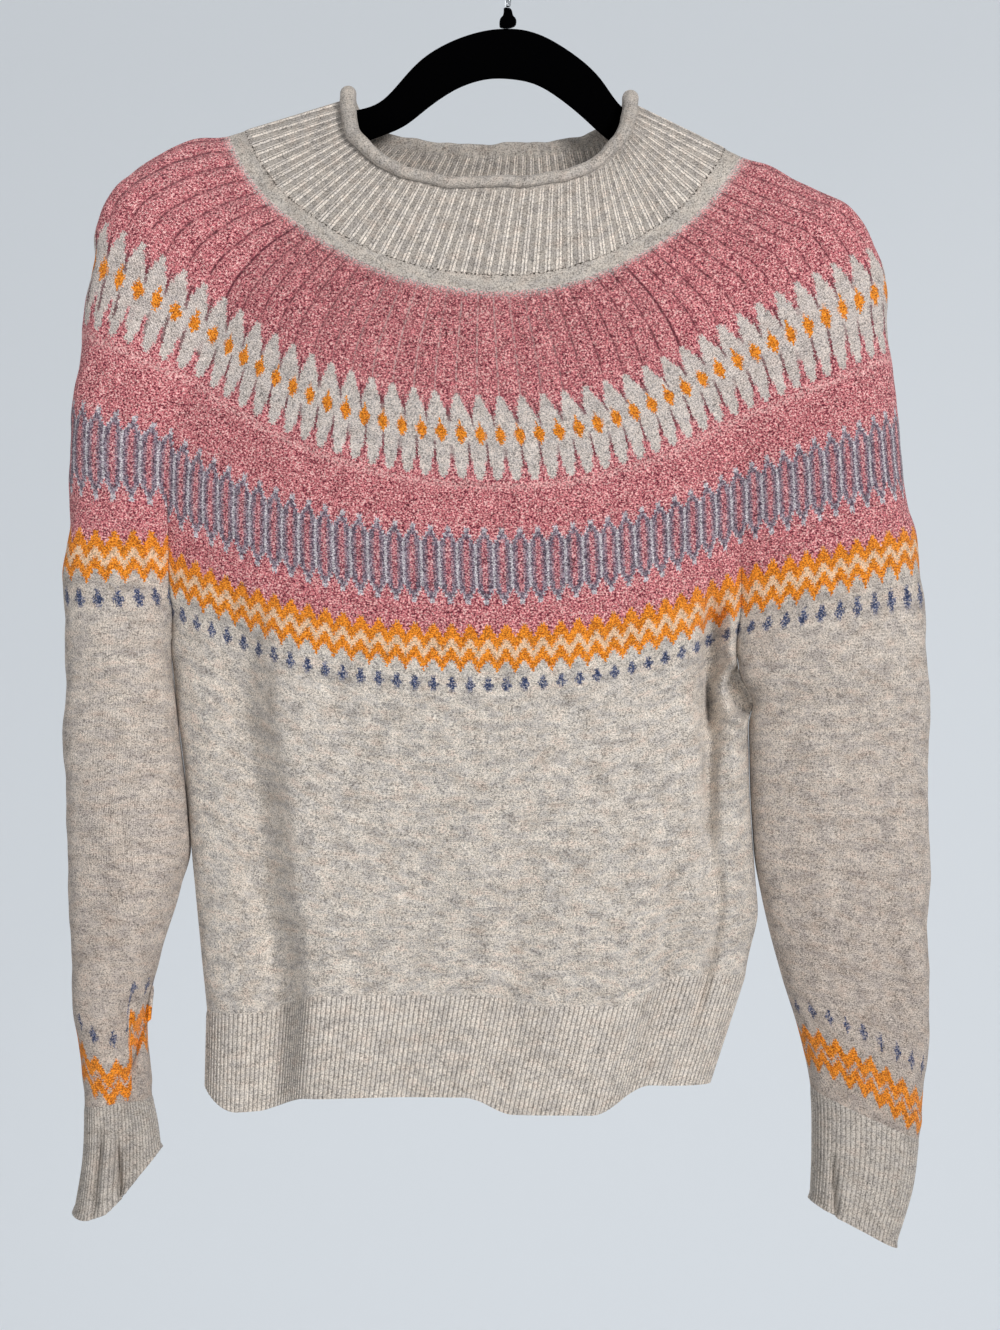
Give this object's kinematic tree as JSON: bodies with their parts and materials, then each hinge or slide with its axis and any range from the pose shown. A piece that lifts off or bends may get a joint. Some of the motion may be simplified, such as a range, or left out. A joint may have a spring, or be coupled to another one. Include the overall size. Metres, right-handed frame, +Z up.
{
  "type": "fair isle jumper on a clothes hanger",
  "caption": "Knitted round-yoke jumper with a rolled mock neck and ribbed hem and cuffs, hanging hollow and open on a flocked hanger with a wire hook.",
  "frame": {"origin": "the inside of the top of the hanger's hook, where it rests on a rail", "axes": "+Z up, +Y towards the jumper's back, so the front faces -Y; left and right are a viewer's who looks at the front"},
  "size_m": [0.505, 0.0864, 0.78],
  "materials": {
    "body_knit": "woolly stranded knit, patterned yoke and plain heather body",
    "rib_knit": "woolly one-and-one rib in oatmeal heather",
    "black_velvet": "flocked over moulded plastic, dull",
    "chrome_wire": "bright"
  },
  "bodies": {
    "root": {"front": "body_knit", "back": "body_knit", "sleeve_left": "body_knit", "sleeve_right": "body_knit", "neckband": "rib_knit", "hem_rib_front": "rib_knit", "hem_rib_back": "rib_knit", "cuff_left": "rib_knit", "cuff_right": "rib_knit", "hanger_body": "black_velvet", "hanger_ferrule": "black_velvet", "hanger_hook": "chrome_wire"}
  },
  "joints": []
}
